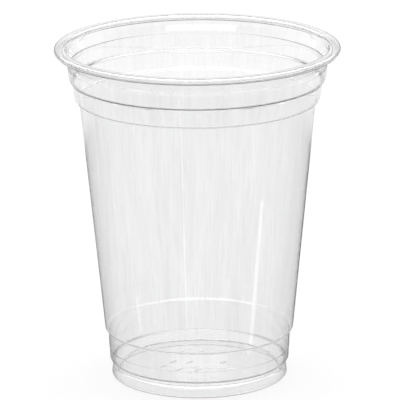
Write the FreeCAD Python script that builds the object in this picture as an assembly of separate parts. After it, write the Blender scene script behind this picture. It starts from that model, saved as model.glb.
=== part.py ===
import FreeCAD, Part
import math
import os

# A clear disposable drinking cup, formed in one piece from a thin plastic sheet.
# Millimetres. +Z is up through the mouth, and the origin is on the axis at the table.
# Every run and bend of the sheet is given on its outer face, the one that a hand
# touches. The sheet's thickness lies on the side of the drink. A corner with no bend
# is a crisp crease of the mould.

# Whole cup
cup_height = 117.0        # table to the top of the rim
rim_diameter = 98.0       # over the rolled rim, the size that a lid presses on to
wall = 0.3                # thickness of the formed sheet
bend_flats = 1            # flats that round each bend, between its two runs

# Rolled rim, measured over the outside of the roll
curl_width = 4.2          # from the face of the lip to the outermost line
curl_height = 2.2
free_edge_gap = 1.0       # between the back of the lip and the free edge rolled in behind it

# Lip and the groove under it, where a lid's claw grips
lip_bend = 0.9            # where the lip turns out into the roll
groove_below_rim = 5.5
groove_depth = 1.55       # inward from the back of the lip
lip_slope_height = 2.3    # height over which the lip spreads out of the groove

# Two ledged bands under the groove, which carry the next cup of a stack
band_slope_deg = 7.0
upper_band_bulge = 1.0    # outward from the groove
upper_band_crest = 1.1    # height of the slope between the groove and the band
upper_band_height = 5.1
upper_band_bend = 1.4
upper_ledge = 1.05
lower_band_height = 6.5
lower_band_bend = 1.3
lower_ledge = 1.5
ledge_rise = 0.3          # each ledge climbs this far from its crease to its outer edge

# Straight tapering body
body_slope_deg = 5.58
shoulder_height = 16.7    # table to the body's lower edge
shoulder_bend = 1.1
shoulder_ledge = 1.1      # inward at that edge
shoulder_drop = 0.5

# Narrow band between the shoulder and the foot
foot_band_slope_deg = 1.8
foot_band_height = 10.45  # from the shoulder's crease down to the band's lower edge

# Foot, set off by an undercut crease
undercut = 1.15           # inward from the band's lower edge
undercut_drop = 0.55
foot_flare = 0.6          # the foot widens this far from the crease to the table
foot_bend = 0.75
foot_ring_width = 1.9     # between the sheet's two runs where they meet the table

# Floor, raised inside the foot
floor_height = 3.4        # table to the floor's underside
floor_draft = 1.5         # inward lean of the step up to the floor


def leaning(height, slope_deg):
    """How far a wall of this height moves outward at this slope."""
    return height * math.tan(math.radians(slope_deg))


class Sheet:
    """The sheet's outer face as a chain of corners, each one with its bend radius."""

    def __init__(self, radius, height):
        self.corners = [FreeCAD.Vector(radius, 0, height)]
        self.bends = []

    def to(self, radius, height, bend=0.0):
        self.corners.append(FreeCAD.Vector(radius, 0, height))
        self.bends.append(bend)

    def by(self, outward, upward, bend=0.0):
        last = self.corners[-1]
        self.to(last.x + outward, last.z + upward, bend)


def rolled_rim():
    """From the free edge round the roll and down the lip to the groove."""
    lip_back = rim_diameter / 2 - curl_width + wall
    roll_outer = rim_diameter / 2 - wall
    roll_top = cup_height - wall
    roll_bottom = cup_height - curl_height + wall
    roll_bend = (roll_top - roll_bottom) / 2
    groove_height = cup_height - groove_below_rim
    sheet = Sheet(lip_back + free_edge_gap, roll_bottom)
    sheet.to(roll_outer, roll_bottom, roll_bend)
    sheet.to(roll_outer, roll_top, roll_bend)
    sheet.to(lip_back, roll_top, lip_bend)
    sheet.to(lip_back, groove_height + lip_slope_height)
    sheet.to(lip_back - groove_depth, groove_height)
    return sheet


def add_bands(sheet):
    """The two ledged bands, down to the top of the straight body."""
    upper_slope = leaning(upper_band_height, band_slope_deg)
    lower_slope = leaning(lower_band_height, band_slope_deg)
    sheet.by(upper_band_bulge, -upper_band_crest)
    sheet.by(-upper_slope, -upper_band_height, upper_band_bend)
    sheet.by(-upper_ledge, -ledge_rise)
    sheet.by(-lower_slope, -lower_band_height, lower_band_bend)
    sheet.by(-lower_ledge, -ledge_rise)


def add_body(sheet):
    """The straight taper, and the shoulder that sets the narrow band back."""
    body_height = sheet.corners[-1].z - shoulder_height
    sheet.by(-leaning(body_height, body_slope_deg), -body_height, shoulder_bend)
    sheet.by(-shoulder_ledge, -shoulder_drop)


def add_foot(sheet):
    """The narrow band, the undercut and the hollow foot ring on the table."""
    sheet.by(-leaning(foot_band_height, foot_band_slope_deg), -foot_band_height)
    sheet.by(-undercut, -undercut_drop)
    sheet.by(foot_flare, -sheet.corners[-1].z, foot_bend)
    sheet.by(-foot_ring_width, 0.0)


def add_floor(sheet):
    """The step up inside the foot ring, and the flat floor to the axis."""
    sheet.by(-floor_draft, floor_height)
    sheet.to(0.0, floor_height)


def eased(bends, corners):
    """The bend radii, smaller where a run is too short for the bends at its two ends."""
    reaches = [0.0]
    for before, corner, after, bend in zip(corners, corners[1:], corners[2:], bends):
        reaches.append(bend * math.tan((corner - before).getAngle(after - corner) / 2))
    reaches.append(0.0)
    shares = []
    for start, end, first, second in zip(corners, corners[1:], reaches, reaches[1:]):
        needed = first + second
        shares.append(min(1.0, (end - start).Length / needed) if needed else 1.0)
    return [bend * min(before, after) for bend, before, after in zip(bends, shares, shares[1:])]


def bend_points(before, corner, after, bend):
    """The ends of the flats that touch the arc of a bend."""
    back = (before - corner).normalize()
    ahead = (after - corner).normalize()
    half_turn = (corner - before).getAngle(after - corner) / 2
    middle = -(back + ahead).normalize()
    sideways = (ahead - back).normalize()
    centre = corner - middle * (bend / math.cos(half_turn))
    step = 2 * half_turn / (bend_flats + 1)
    reach = bend / math.cos(step / 2)
    points = []
    for count in range(bend_flats + 1):
        turned = (count + 0.5) * step - half_turn
        points.append(centre + (middle * math.cos(turned) + sideways * math.sin(turned)) * reach)
    return points


def bent(sheet):
    """The outer face's points, with every bend taken as its flats."""
    corners = sheet.corners
    chain = [corners[0]]
    bends = eased(sheet.bends, corners)
    for before, corner, after, bend in zip(corners, corners[1:], corners[2:], bends):
        chain += bend_points(before, corner, after, bend) if bend else [corner]
    return chain + [corners[-1]]


def towards_drink(points):
    """The same chain moved through the sheet to its other face."""
    normals = []
    for start, end in zip(points, points[1:]):
        along = (end - start).normalize()
        normals.append(FreeCAD.Vector(along.z, 0, -along.x))
    moved = [points[0] + normals[0] * wall]
    for point, before, after in zip(points[1:], normals, normals[1:]):
        moved.append(point + (before + after) * (wall / (1 + before.dot(after))))
    return moved + [points[-1] + normals[-1] * wall]


def cup():
    """The whole cup: the sheet's closed section turned about the axis."""
    sheet = rolled_rim()
    add_bands(sheet)
    add_body(sheet)
    add_foot(sheet)
    add_floor(sheet)
    outer = bent(sheet)
    inner = towards_drink(outer)
    section = Part.Face(Part.makePolygon(outer + inner[::-1] + outer[:1]))
    return section.revolve(FreeCAD.Vector(0, 0, 0), FreeCAD.Vector(0, 0, 1), 360)


os.makedirs("parts", exist_ok=True)
solid = cup()
solid.exportStep("parts/cup.step")
print("volume", round(solid.Volume, 1), "valid", solid.isValid(), "type", solid.ShapeType)
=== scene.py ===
import math

import bpy
from mathutils import Matrix, Vector


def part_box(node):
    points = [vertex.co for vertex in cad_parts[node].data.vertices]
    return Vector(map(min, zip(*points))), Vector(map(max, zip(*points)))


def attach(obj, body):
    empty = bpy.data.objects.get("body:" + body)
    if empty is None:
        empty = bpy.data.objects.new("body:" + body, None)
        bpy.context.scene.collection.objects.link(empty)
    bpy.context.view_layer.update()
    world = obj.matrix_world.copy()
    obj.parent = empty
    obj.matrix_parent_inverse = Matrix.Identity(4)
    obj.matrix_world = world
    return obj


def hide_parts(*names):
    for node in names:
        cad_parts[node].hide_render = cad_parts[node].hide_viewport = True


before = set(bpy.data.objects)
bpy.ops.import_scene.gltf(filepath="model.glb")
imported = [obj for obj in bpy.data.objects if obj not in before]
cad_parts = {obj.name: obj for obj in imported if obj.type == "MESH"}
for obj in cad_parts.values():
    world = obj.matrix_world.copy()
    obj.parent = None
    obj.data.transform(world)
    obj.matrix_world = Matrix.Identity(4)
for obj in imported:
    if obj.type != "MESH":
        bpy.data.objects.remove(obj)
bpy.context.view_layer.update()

# Metres. +Z is up through the mouth, the origin is on the axis at the table.

# The sheet. Every run and bend is given on its outer face, and the thickness lies on
# the side of the drink.
far_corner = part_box("cup")[1]
cup_height = far_corner.z
rim_radius = far_corner.x
wall = 0.0003
turns = 240               # quads round the cup
arc_steps = 6             # quads across each bend
hollow_crease = 0.00045   # crease whose bend lies open to a hand
raised_crease = 0.00055   # crease whose bend stands out towards a hand
ledge_extra = 0.0004      # the sheet is this much thicker in the upper ledge and the undercut
ledge_spread = 0.0009     # distance over which that thickness fades out
fade_step = 0.00012       # longest quad where it fades

# Rolled rim
curl_width = 0.0042       # from the face of the lip to the outermost line
curl_height = 0.0022
tuck_gap = 0.00095        # between the lip and the free edge rolled in behind it
tuck_height = 0.0006      # how far the free edge is turned up above the roll's underside
tuck_bend = 0.00035

# Lip and the groove under it
lip_bend = 0.0009
groove_below_rim = 0.0055
groove_depth = 0.00155
lip_slope_height = 0.0023

# Two ledged bands
band_slope_deg = 7.0
upper_band_bulge = 0.0010
upper_band_crest = 0.0011
upper_band_height = 0.0051
upper_band_bend = 0.0014
upper_ledge = 0.00105
crest_bend = 0.0015
lower_band_height = 0.0065
lower_band_bend = 0.0013
lower_ledge = 0.0015
ledge_rise = 0.0003

# Straight tapering body
body_slope_deg = 5.58
shoulder_height = 0.0167
shoulder_bend = 0.0011
shoulder_ledge = 0.0011
shoulder_drop = 0.0005

# Narrow band with a fine step, undercut and hollow foot
foot_band_slope_deg = 1.8
foot_band_height = 0.01045
fine_step_down = 0.0063
fine_step = 0.00015
fine_step_height = 0.0004
foot_band_bend = 0.0009
undercut = 0.00115
undercut_drop = 0.00055
foot_flare = 0.0006
foot_bend = 0.00075
foot_ring_width = 0.0019

# Raised floor
floor_height = 0.0034
floor_draft = 0.0015
floor_edge_bend = 0.0022

# Low plain ribs on the floor, in slanting rows
rib_length = 0.0046
rib_width = 0.0013
rib_height = 0.00015
rib_heading_deg = 46.0
rib_zone = 0.0175         # radius that holds them all
rib_ring_step = 0.00035
mould_ribs = (
    (-0.0066, 0.0105), (0.0004, 0.0105), (0.0066, 0.0098),
    (-0.0092, -0.0005), (-0.0033, -0.001), (0.0085, -0.0012),
    (-0.0125, -0.0052), (-0.0072, -0.0092), (-0.0006, -0.0098),
)

nearly_level = 0.999       # upward part of a normal that belongs to the flat floor

# Heights above the table that follow from these sizes
groove_height = cup_height - groove_below_rim
upper_ledge_edge = groove_height - upper_band_crest - upper_band_height
lower_ledge_edge = upper_ledge_edge - ledge_rise - lower_band_height
shoulder_crease = shoulder_height - shoulder_drop
fine_step_top = shoulder_crease - fine_step_down
undercut_edge = shoulder_crease - foot_band_height

# The looks. A soft change is given by where it starts and ends and, unless it goes from
# 0 to 1, by its values there. One that ends in "turned" follows how far the face is turned
# away from the eye, from 0 for a face seen straight on to 1 for one seen edge on.

# Painted shade at creases, edges and other places, where the colour is darkened towards near
# black, from 0 to 1
painted_shade_colour = (0.02, 0.02, 0.02, 1.0)
crease_reach = 0.0004
ledge_line = upper_ledge_edge + 0.00005
crease_marks = (          # height and amount of painted shade of each one
    (groove_height, 0.05),
    (ledge_line, 0.5),
    (lower_ledge_edge, 0.1),
    (shoulder_crease + 0.0001, 0.15),
    (fine_step_top - 0.0001, 0.12),
    (undercut_edge - 0.00005, 0.6),
)
crease_turned = (0.1, 0.45, 0.15, 1.0)
ledge_reach = 0.0007
ledge_turned = (0.37, 0.48, 0.0, 0.7)
body_above = (undercut_edge - 0.00075, undercut_edge + 0.00075)
body_below = (lower_ledge_edge + 0.0015, lower_ledge_edge - 0.0015)
body_turned = (0.25, 0.6, 0.0, 0.055)
top_above = (lower_ledge_edge - 0.0035, upper_ledge_edge + 0.0027, 0.0, 0.03)
top_turned = (0.15, 0.4, 1.0, 0.0)
side_above = (lower_ledge_edge - 0.0035, lower_ledge_edge + 0.0015)
side_below = (cup_height - 0.003, cup_height - 0.005)
side_turned = (0.9, 0.98, 0.0, 0.5)
under_roll_height = cup_height - curl_height + 0.00015
under_roll_reach = 0.0004
under_roll_beyond = (rim_radius - 0.0024, rim_radius - 0.0018)
under_roll_shade = 0.6
rim_edge_beyond = (rim_radius - 0.0006, rim_radius - 0.0002)
rim_edge_turned = (0.4, 0.8, 0.0, 0.4)
lip_radius = rim_radius - 0.004
lip_reach = 0.0005
lip_above = (cup_height - 0.0017, cup_height - 0.0011)
lip_turned = (0.78, 0.95, 0.0, 0.5)
ribs_above = (floor_height + wall + 0.00002, floor_height + wall + 0.00012)
ribs_within = (rib_zone + 0.002, rib_zone + 0.001)
rib_shade = 0.12

# Painted light: places where the tint is lightened towards white, from 0 to 1
painted_light_colour = (1.0, 1.0, 1.0, 1.0)
roll_above = (cup_height - 0.0028, cup_height - 0.0022)
roll_beyond = (rim_radius - 0.0036, rim_radius - 0.0032)
roll_painted_light = 0.9
foot_below = (undercut_edge - 0.00025, undercut_edge - 0.00095)
floor_within = (0.0288, 0.0282, 0.45, 1.0)
bands_above = (lower_ledge_edge, lower_ledge_edge + 0.0015)
bands_turned = (0.2, 0.45, 0.0, 0.5)

# Tint, draw marks, orange peel and gloss
tint_stops = (
    (0.36, (0.9, 0.9, 0.902, 1.0)),
    (0.64, (0.957, 0.958, 0.96, 1.0)),
)
mark_scale = (300.0, 300.0, 9.0)
line_scale = (1300.0, 1300.0, 3.0)
line_share = 0.45
peel_scale = 120.0
bump_strength = 0.05
bump_distance = 0.0002
roughness_by_peel = (0.2, 0.8, 0.004, 0.02)
plastic_ior = 1.575

# White table. Mirrored in the plastic, it is white in a ring round the cup only.
floor_size = 6.0
floor_glow = 0.84
floor_tone = (0.09, 0.11)
ring_beyond = (0.27, 0.32)
ring_within = (0.45, 0.8, 0.85, 0.0)

# Brightness of the room by how steeply up a ray goes
room_through = (0.5, 0.7, 1.0, 0.2)
room_mirrored = (0.05, 0.32, 0.35, 0.95)

# The camera stands where the photograph was taken from.
camera_distance = 1.34846
camera_height = 0.44423
camera_pitch_deg = 15.8245
camera_yaw_deg = 0.02455
camera_roll_deg = -0.40645
camera_lens = 365.49
camera_sensor = 36.0


def leaning(height, slope_deg):
    """How far a wall of this height moves outward at this slope."""
    return height * math.tan(math.radians(slope_deg))


class Sheet:
    """The sheet's outer face as a chain of corners, each one with its bend radius."""

    def __init__(self, radius, height):
        self.corners = [Vector((radius, height))]
        self.bends = []
        self.thick = []

    def to(self, radius, height, bend=hollow_crease):
        self.corners.append(Vector((radius, height)))
        self.bends.append(bend)

    def by(self, outward, upward, bend=hollow_crease):
        last = self.corners[-1]
        self.to(last.x + outward, last.y + upward, bend)

    def thick_ledge(self, outward, upward):
        """A ledge that is formed thicker than the wall, from its outer edge to its crease."""
        self.by(outward, upward)
        self.thick.append(self.corners[-1])

    def thickness(self, point):
        """The wall, with a soft rise to the extra thickness at the thick ledges."""
        nearest = min((point - corner).length for corner in self.thick)
        share = max(0.0, 1.0 - nearest / ledge_spread)
        return wall + ledge_extra * share * share * (3.0 - 2.0 * share)


def rolled_rim():
    """From the turned-up free edge round the roll and down the lip to the groove."""
    lip_back = rim_radius - curl_width + wall
    roll_outer = rim_radius - wall
    roll_top = cup_height - wall
    roll_bottom = cup_height - curl_height + wall
    roll_bend = (roll_top - roll_bottom) / 2
    free_edge = lip_back + tuck_gap + wall
    sheet = Sheet(free_edge, roll_bottom - wall + tuck_height)
    sheet.to(free_edge, roll_bottom, tuck_bend)
    sheet.to(roll_outer, roll_bottom, roll_bend)
    sheet.to(roll_outer, roll_top, roll_bend)
    sheet.to(lip_back, roll_top, lip_bend)
    sheet.to(lip_back, groove_height + lip_slope_height, lip_bend)
    sheet.to(lip_back - groove_depth, groove_height)
    return sheet


def add_bands(sheet):
    """The two ledged bands, down to the top of the straight body."""
    upper_slope = leaning(upper_band_height, band_slope_deg)
    lower_slope = leaning(lower_band_height, band_slope_deg)
    sheet.by(upper_band_bulge, -upper_band_crest, crest_bend)
    sheet.by(-upper_slope, -upper_band_height, upper_band_bend)
    sheet.thick_ledge(-upper_ledge, -ledge_rise)
    sheet.by(-lower_slope, -lower_band_height, lower_band_bend)
    sheet.by(-lower_ledge, -ledge_rise)


def add_body(sheet):
    """The straight taper, and the shoulder that sets the narrow band back."""
    body_height = sheet.corners[-1].y - shoulder_height
    sheet.by(-leaning(body_height, body_slope_deg), -body_height, shoulder_bend)
    sheet.by(-shoulder_ledge, -shoulder_drop)


def add_foot(sheet):
    """The narrow band with its fine step, the undercut and the hollow foot ring."""
    below_step = foot_band_height - fine_step_down - fine_step_height
    sheet.by(-leaning(fine_step_down, foot_band_slope_deg), -fine_step_down, raised_crease)
    sheet.by(-fine_step, -fine_step_height)
    sheet.by(-leaning(below_step, foot_band_slope_deg), -below_step, foot_band_bend)
    sheet.thick_ledge(-undercut, -undercut_drop)
    sheet.by(foot_flare, -sheet.corners[-1].y, foot_bend)
    sheet.by(-foot_ring_width, 0.0, foot_bend)


def add_floor(sheet):
    """The step up inside the foot ring, and the flat floor to the axis."""
    sheet.by(-floor_draft, floor_height, floor_edge_bend)
    sheet.to(0.0, floor_height)


def facing_drink(start, end):
    """The normal of a run of the outer face, towards the drink."""
    along = (end - start).normalized()
    return Vector((along.y, -along.x))


def half_turn(before, corner, after):
    """Half of the angle by which the sheet turns at a corner."""
    return (corner - before).angle(after - corner) / 2


def eased(bends, corners):
    """The bend radii, smaller where a run is too short for the bends at its two ends."""
    reaches = [0.0]
    for before, corner, after, bend in zip(corners, corners[1:], corners[2:], bends):
        reaches.append(bend * math.tan(half_turn(before, corner, after)))
    reaches.append(0.0)
    shares = []
    for start, end, first, second in zip(corners, corners[1:], reaches, reaches[1:]):
        needed = first + second
        shares.append(min(1.0, (end - start).length / needed) if needed else 1.0)
    return [
        bend * min(before, after) for bend, before, after in zip(bends, shares, shares[1:])
    ]


def rounded(sheet):
    """Points of the outer face, each one with its normal towards the drink and its curl, which
    is 1 over the radius of its bend and 0 on a straight run. Bends are true arcs."""
    corners = sheet.corners
    points = [(corners[0], facing_drink(corners[0], corners[1]), 0.0)]
    for before, corner, after, bend in zip(
        corners, corners[1:], corners[2:], eased(sheet.bends, corners)
    ):
        first = facing_drink(before, corner)
        last = facing_drink(corner, after)
        turn = 2 * half_turn(before, corner, after)
        side = math.copysign(1.0, first.y * last.x - first.x * last.y)
        centre = corner + (first + last).normalized() * side * bend / math.cos(turn / 2)
        for step in range(arc_steps + 1):
            normal = Matrix.Rotation(-side * turn * step / arc_steps, 2) @ first
            points.append((centre - normal * side * bend, normal, side / bend))
    points.append((corners[-1], facing_drink(corners[-2], corners[-1]), 0.0))
    return points


def with_fades(sheet, points):
    """More points on the straight runs where the thickness changes."""
    full = [points[0]]
    for here, there in zip(points, points[1:]):
        run = there[0] - here[0]
        parts = max(1, math.ceil(run.length / fade_step))
        for part in range(1, parts):
            place = here[0] + run * part / parts
            if sheet.thickness(place) > wall:
                full.append((place, (here[1] + there[1]).normalized(), 0.0))
        full.append(there)
    return full


def inner_face(sheet, points):
    """The face on the side of the drink, with its own normals."""
    face = []
    for place, normal, curl in points:
        along = Vector((-normal.y, normal.x))
        step = fade_step / 4
        ahead, behind = place + along * step, place - along * step
        change = (sheet.thickness(ahead) - sheet.thickness(behind)) / (2 * step)
        depth = sheet.thickness(place)
        tilted = normal * (1.0 - curl * depth) - along * change
        face.append((place + normal * depth, tilted.normalized()))
    return face


def sheet_skin():
    """Both faces of the sheet and its rounded free edge, as points with outward normals."""
    sheet = rolled_rim()
    add_bands(sheet)
    add_body(sheet)
    add_foot(sheet)
    add_floor(sheet)
    outer = with_fades(sheet, rounded(sheet))
    outside = [(point, -normal) for point, normal, curl in outer]
    inside = floor_rings(inner_face(sheet, outer))
    edge_middle = (outside[0][0] + inside[0][0]) / 2
    edge = []
    for step in range(1, arc_steps):
        away = Matrix.Rotation(math.pi * step / arc_steps, 2) @ outside[0][1]
        edge.append((edge_middle + away * wall / 2, away))
    return outside[::-1] + edge + inside


def floor_rings(face):
    """The floor's upper face with the rings that carry its mould ribs."""
    level = face[-1][0].y
    count = round(rib_zone / rib_ring_step)
    rings = []
    for ring in range(count):
        radius = rib_zone * (count - ring) / count
        rings.append((Vector((radius, level)), Vector((0.0, 1.0))))
    return face[:-1] + rings + face[-1:]


def lifted(across, deep):
    """The height of the mould ribs at a place on the floor, and how it rises in X and Y.
    Each rib is a long dome, as high as the square of its share."""
    height, rise_x, rise_y = 0.0, 0.0, 0.0
    half_length, half_width = rib_length / 2, rib_width / 2
    heading = math.radians(rib_heading_deg)
    ahead_x, ahead_y = math.cos(heading), math.sin(heading)
    for rib_x, rib_y in mould_ribs:
        off_x, off_y = across - rib_x, deep - rib_y
        along = (off_x * ahead_x + off_y * ahead_y) / half_length
        aside = (off_y * ahead_x - off_x * ahead_y) / half_width
        share = 1.0 - along * along - aside * aside
        if share > 0.0:
            steep = -4.0 * rib_height * share
            height += rib_height * share * share
            rise_x += steep * (along * ahead_x / half_length - aside * ahead_y / half_width)
            rise_y += steep * (along * ahead_y / half_length + aside * ahead_x / half_width)
    return height, rise_x, rise_y


def turned(skin, name):
    """A closed mesh made by turning the skin round the axis."""
    rings = skin[1:-1]
    verts = [(0.0, 0.0, skin[0][0].y), (0.0, 0.0, skin[-1][0].y)]
    normals = [(0.0, 0.0, skin[0][1].y), (0.0, 0.0, skin[-1][1].y)]
    for count in range(turns):
        angle = math.tau * count / turns
        across, deep = math.cos(angle), math.sin(angle)
        for point, normal in rings:
            lift, rise_x, rise_y = 0.0, 0.0, 0.0
            if normal.y > nearly_level and point.x <= rib_zone:
                lift, rise_x, rise_y = lifted(point.x * across, point.x * deep)
            slope = Vector((normal.x * across - rise_x, normal.x * deep - rise_y, normal.y))
            verts.append((point.x * across, point.x * deep, point.y + lift))
            normals.append(tuple(slope.normalized()))
    faces = []
    for count in range(turns):
        here = 2 + count * len(rings)
        there = 2 + (count + 1) % turns * len(rings)
        last = len(rings) - 1
        faces.append((0, there, here))
        faces.append((1, here + last, there + last))
        for row in range(last):
            faces.append((here + row, there + row, there + row + 1, here + row + 1))
    mesh = bpy.data.meshes.new(name)
    mesh.from_pydata(verts, [], faces)
    mesh.polygons.foreach_set("use_smooth", [True] * len(mesh.polygons))
    mesh.normals_split_custom_set_from_vertices(normals)
    made = bpy.data.objects.new(name, mesh)
    bpy.context.scene.collection.objects.link(made)
    return made


class Nodes:
    """Short calls for building one material's or the world's node tree."""

    def __init__(self, tree):
        self.tree = tree
        tree.nodes.clear()

    def add(self, kind, **values):
        """A node, with values for its settings or, with _ for a space, its sockets."""
        node = self.tree.nodes.new(kind)
        for key, value in values.items():
            if hasattr(node, key):
                setattr(node, key, value)
            else:
                node.inputs[key.replace("_", " ")].default_value = value
        return node

    def link(self, source, target):
        self.tree.links.new(source, target)

    def feed(self, value, socket):
        """A plain value is set on a socket, and an output is linked to it."""
        if isinstance(value, bpy.types.NodeSocket):
            self.link(value, socket)
        else:
            socket.default_value = value

    def chain(self, operation, values, use_clamp=False):
        result = values[0]
        for value in values[1:]:
            node = self.add("ShaderNodeMath", operation=operation, use_clamp=use_clamp)
            self.feed(result, node.inputs[0])
            self.feed(value, node.inputs[1])
            result = node.outputs["Value"]
        return result

    def times(self, *values):
        return self.chain("MULTIPLY", values)

    def total(self, *values):
        """A sum that stops at 1."""
        return self.chain("ADD", values, use_clamp=True)

    def largest(self, *values):
        return self.chain("MAXIMUM", values)

    def ramp(self, value, start, end, first=0.0, last=1.0):
        """A soft change from the first to the last value as another goes from start to end."""
        mapped = self.add(
            "ShaderNodeMapRange", interpolation_type="SMOOTHSTEP",
            From_Min=start, From_Max=end, To_Min=first, To_Max=last,
        )
        self.link(value, mapped.inputs["Value"])
        return mapped.outputs["Result"]

    def near(self, value, middle, reach):
        """1 where a value is at the middle one, and 0 beyond its reach."""
        off = self.chain("SUBTRACT", (value, middle))
        size = self.add("ShaderNodeMath", operation="ABSOLUTE")
        self.link(off, size.inputs[0])
        return self.ramp(size.outputs["Value"], 0.0, reach, 1.0, 0.0)

    def mixed_colour(self, factor, first, second):
        """A colour between two others. Sockets 6 and 7 of a Mix node are its colours."""
        node = self.add("ShaderNodeMix", data_type="RGBA")
        self.link(factor, node.inputs["Factor"])
        self.feed(first, node.inputs[6])
        self.feed(second, node.inputs[7])
        return node.outputs[2]

    def noise(self, vector, **values):
        made = self.add("ShaderNodeTexNoise", **values)
        self.link(vector, made.inputs["Vector"])
        return made.outputs["Fac"]


def height_and_radius(nodes, place):
    """The height above the table and the distance from the axis."""
    split = nodes.add("ShaderNodeSeparateXYZ")
    nodes.link(place, split.inputs["Vector"])
    flat = nodes.add("ShaderNodeVectorMath", operation="MULTIPLY")
    flat.inputs[1].default_value = (1.0, 1.0, 0.0)
    nodes.link(place, flat.inputs[0])
    length = nodes.add("ShaderNodeVectorMath", operation="LENGTH")
    nodes.link(flat.outputs["Vector"], length.inputs[0])
    return split.outputs["Z"], length.outputs["Value"]


def painted_shade_share(nodes, height, radius, turned_away):
    """Painted shade: how far the colour is darkened, most of all at creases that are seen at a
    low angle.
    """
    creases = nodes.total(*(
        nodes.times(nodes.near(height, crease, crease_reach), amount)
        for crease, amount in crease_marks
    ))
    on_body = nodes.times(nodes.ramp(height, *body_above), nodes.ramp(height, *body_below))
    on_bands = nodes.times(nodes.ramp(height, *side_above), nodes.ramp(height, *side_below))
    under_roll = nodes.times(
        nodes.near(height, under_roll_height, under_roll_reach),
        nodes.ramp(radius, *under_roll_beyond),
    )
    on_lip = nodes.times(
        nodes.near(radius, lip_radius, lip_reach), nodes.ramp(height, *lip_above)
    )
    on_ribs = nodes.times(nodes.ramp(height, *ribs_above), nodes.ramp(radius, *ribs_within))
    return nodes.total(
        nodes.times(creases, nodes.ramp(turned_away, *crease_turned)),
        nodes.times(
            nodes.near(height, ledge_line, ledge_reach), nodes.ramp(turned_away, *ledge_turned)
        ),
        nodes.times(on_body, nodes.ramp(turned_away, *body_turned)),
        nodes.times(nodes.ramp(height, *top_above), nodes.ramp(turned_away, *top_turned)),
        nodes.times(on_bands, nodes.ramp(turned_away, *side_turned)),
        nodes.times(under_roll, under_roll_shade),
        nodes.times(
            nodes.ramp(radius, *rim_edge_beyond), nodes.ramp(turned_away, *rim_edge_turned)
        ),
        nodes.times(on_lip, nodes.ramp(turned_away, *lip_turned)),
        nodes.times(on_ribs, rib_shade),
    )


def painted_light_share(nodes, height, radius, turned_away):
    """Painted light: how far the tint is lightened towards white."""
    in_roll = nodes.times(nodes.ramp(height, *roll_above), nodes.ramp(radius, *roll_beyond))
    return nodes.total(
        nodes.times(in_roll, roll_painted_light),
        nodes.times(nodes.ramp(height, *foot_below), nodes.ramp(radius, *floor_within)),
        nodes.times(nodes.ramp(height, *bands_above), nodes.ramp(turned_away, *bands_turned)),
    )


def drawn_out(nodes, place, scale):
    """The place scaled so that a noise runs in long marks up the wall."""
    mapping = nodes.add("ShaderNodeMapping", Scale=scale)
    nodes.link(place, mapping.inputs["Vector"])
    return mapping.outputs["Vector"]


def clear_plastic():
    """Clear sheet plastic with faint draw marks down the wall and a soft orange peel, with
    painted shade at its creases and edges and painted light in its roll, bands and floor.
    """
    material = bpy.data.materials.new("clear_plastic")
    material.use_nodes = True
    nodes = Nodes(material.node_tree)
    place = nodes.add("ShaderNodeTexCoord").outputs["Object"]
    turned_away = nodes.add("ShaderNodeLayerWeight", Blend=0.5).outputs["Facing"]
    height, radius = height_and_radius(nodes, place)
    marks = nodes.noise(
        drawn_out(nodes, place, mark_scale), Scale=1.0, Detail=3.0, Roughness=0.55
    )
    lines = nodes.noise(
        drawn_out(nodes, place, line_scale), Scale=1.0, Detail=1.0, Roughness=0.5
    )
    peel = nodes.noise(place, Scale=peel_scale, Detail=2.0, Roughness=0.5)
    bump = nodes.add("ShaderNodeBump", Strength=bump_strength, Distance=bump_distance)
    nodes.link(nodes.chain("ADD", (marks, peel)), bump.inputs["Height"])
    streaks = nodes.add("ShaderNodeMix", Factor=line_share)
    nodes.link(marks, streaks.inputs["A"])
    nodes.link(lines, streaks.inputs["B"])
    tint = nodes.add("ShaderNodeValToRGB")
    for stop, (position, colour) in zip(tint.color_ramp.elements, tint_stops):
        stop.position = position
        stop.color = colour
    nodes.link(streaks.outputs["Result"], tint.inputs["Fac"])
    # painted light: the tint lightened towards white in the roll, the bands and over the floor
    lightened_tint = nodes.mixed_colour(
        painted_light_share(nodes, height, radius, turned_away), tint.outputs["Color"], painted_light_colour
    )
    # painted shade: the colour darkened towards near black at creases, edges, under the roll
    # and on the ribs
    colour = nodes.mixed_colour(
        painted_shade_share(nodes, height, radius, turned_away), lightened_tint, painted_shade_colour
    )
    shader = nodes.add("ShaderNodeBsdfPrincipled", IOR=plastic_ior, Transmission_Weight=1.0)
    nodes.link(colour, shader.inputs["Base Color"])
    nodes.link(nodes.ramp(peel, *roughness_by_peel), shader.inputs["Roughness"])
    nodes.link(bump.outputs["Normal"], shader.inputs["Normal"])
    output = nodes.add("ShaderNodeOutputMaterial")
    nodes.link(shader.outputs["BSDF"], output.inputs["Surface"])
    return material


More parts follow.
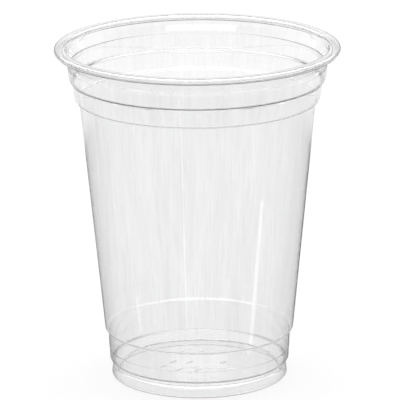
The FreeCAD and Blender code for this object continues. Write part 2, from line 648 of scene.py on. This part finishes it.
def pale_floor():
    """A table that shows its own white where it is looked at, straight or through the clear
    wall, and the light and shadow on it."""
    bpy.ops.mesh.primitive_plane_add(size=floor_size)
    floor = bpy.context.object
    floor.name = "floor"
    material = bpy.data.materials.new("floor")
    material.use_nodes = True
    nodes = Nodes(material.node_tree)
    grain = nodes.add("ShaderNodeTexNoise", Scale=40.0, Detail=4.0)
    tone = nodes.add("ShaderNodeMapRange", To_Min=floor_tone[0], To_Max=floor_tone[1])
    nodes.link(grain.outputs["Fac"], tone.inputs["Value"])
    paint = nodes.add("ShaderNodeBsdfDiffuse")
    nodes.link(tone.outputs["Result"], paint.inputs["Color"])
    glow = nodes.add(
        "ShaderNodeEmission", Strength=1.0, Color=(floor_glow, floor_glow, floor_glow, 1.0)
    )
    both = nodes.add("ShaderNodeAddShader")
    nodes.link(paint.outputs["BSDF"], both.inputs[0])
    nodes.link(glow.outputs["Emission"], both.inputs[1])
    place = nodes.add("ShaderNodeTexCoord")
    reach = nodes.add("ShaderNodeVectorMath", operation="LENGTH")
    nodes.link(place.outputs["Object"], reach.inputs[0])
    distance = reach.outputs["Value"]
    path = nodes.add("ShaderNodeLightPath").outputs
    ring = nodes.times(nodes.ramp(distance, *ring_beyond), nodes.ramp(distance, *ring_within))
    white = nodes.total(
        nodes.largest(path["Is Camera Ray"], path["Is Transmission Ray"]),
        nodes.times(path["Is Glossy Ray"], ring),
    )
    choice = nodes.add("ShaderNodeMixShader")
    nodes.link(white, choice.inputs["Fac"])
    nodes.link(paint.outputs["BSDF"], choice.inputs[1])
    nodes.link(both.outputs["Shader"], choice.inputs[2])
    output = nodes.add("ShaderNodeOutputMaterial")
    nodes.link(choice.outputs["Shader"], output.inputs["Surface"])
    floor.data.materials.append(material)


def studio_world():
    """White where it is looked at. Through the plastic the room is dim overhead, and mirrored
    it is dim near the table."""
    world = bpy.data.worlds.new("studio")
    bpy.context.scene.world = world
    world.use_nodes = True
    nodes = Nodes(world.node_tree)
    path = nodes.add("ShaderNodeLightPath").outputs
    way = nodes.add("ShaderNodeTexCoord")
    split = nodes.add("ShaderNodeSeparateXYZ")
    nodes.link(way.outputs["Generated"], split.inputs["Vector"])
    upward = split.outputs["Z"]
    not_through = nodes.chain("SUBTRACT", (1.0, path["Is Transmission Ray"]))
    level = nodes.largest(
        path["Is Camera Ray"],
        nodes.times(path["Is Transmission Ray"], nodes.ramp(upward, *room_through)),
        nodes.times(not_through, nodes.ramp(upward, *room_mirrored)),
    )
    room = nodes.add("ShaderNodeBackground", Strength=1.0)
    nodes.link(level, room.inputs["Color"])
    output = nodes.add("ShaderNodeOutputWorld")
    nodes.link(room.outputs["Background"], output.inputs["Surface"])


def soft_light(name, place, target, width, height, brightness, spread_deg=180.0):
    """A rectangular studio light that faces a target point. Its brightness is per area, as
    seen straight on, whatever its spread."""
    lamp = bpy.data.lights.new(name, "AREA")
    lamp.shape = "RECTANGLE"
    lamp.size = width
    lamp.size_y = height
    half_spread = math.radians(spread_deg) / 2
    lamp.spread = 2 * half_spread
    narrowing = 1 - half_spread / math.tan(half_spread)
    lamp.energy = brightness * math.pi * width * height * narrowing
    made = bpy.data.objects.new(name, lamp)
    made.location = place
    facing = Vector(target) - Vector(place)
    made.rotation_euler = facing.to_track_quat("-Z", "Y").to_euler()
    bpy.context.scene.collection.objects.link(made)


def round_the_cup(bearing_deg, distance, height):
    """A place at a bearing from the camera's side, positive to the right."""
    bearing = math.radians(bearing_deg)
    return (distance * math.sin(bearing), -distance * math.cos(bearing), height)


def studio_lights():
    """Broad lights over and behind the cup, and narrow ones that its wall mirrors as the
    bright lines of the photograph. Each narrow light faces the place that mirrors it."""
    middle = (0.0, 0.0, cup_height / 2)
    soft_light("overhead", (0.0, 0.25, 0.95), middle, width=1.5, height=1.2, brightness=2.6)
    soft_light(
        "high_front", (-0.06, -0.62, 0.88), middle, width=0.9, height=0.5, brightness=1.2
    )
    for name, across in (("left_panel", -0.56), ("right_panel", 0.56)):
        soft_light(name, (across, 0.72, 0.56), middle, width=0.35, height=0.35, brightness=1.8)
    soft_light(
        "left_strip", round_the_cup(-56.0, 0.058, 0.0155), round_the_cup(-28.0, 0.033, 0.032),
        width=0.003, height=0.013, brightness=0.7, spread_deg=50.0,
    )
    soft_light(
        "right_strip", round_the_cup(54.5, 0.076, 0.0222), round_the_cup(27.0, 0.036, 0.046),
        width=0.005, height=0.052, brightness=1.3, spread_deg=50.0,
    )
    soft_light(
        "front_edge", round_the_cup(-12.5, 0.085, 0.043), round_the_cup(-6.2, 0.0365, 0.068),
        width=0.0014, height=0.08, brightness=1.0, spread_deg=50.0,
    )
    soft_light(
        "floor_light", (0.0, 0.5, 0.168), (0.0, 0.0, floor_height),
        width=0.03, height=0.014, brightness=0.35,
    )


def photo_camera():
    """The camera of the photograph, tilted down and a little turned and rolled."""
    camera = bpy.data.cameras.new("camera")
    camera.lens = camera_lens
    camera.sensor_width = camera_sensor
    made = bpy.data.objects.new("camera", camera)
    turn = Matrix.Rotation(math.radians(-camera_yaw_deg), 4, "Z")
    tilt = Matrix.Rotation(math.radians(90.0 - camera_pitch_deg), 4, "X")
    roll = Matrix.Rotation(math.radians(camera_roll_deg), 4, "Z")
    place = Matrix.Translation((0.0, -camera_distance, camera_height))
    made.matrix_world = place @ turn @ tilt @ roll
    bpy.context.scene.collection.objects.link(made)
    bpy.context.scene.camera = made


cup = turned(sheet_skin(), "clear_cup")
cup.data.materials.append(clear_plastic())
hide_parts("cup")
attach(cup, "root")
pale_floor()
studio_world()
studio_lights()
photo_camera()
bpy.context.scene.view_settings.view_transform = "Standard"
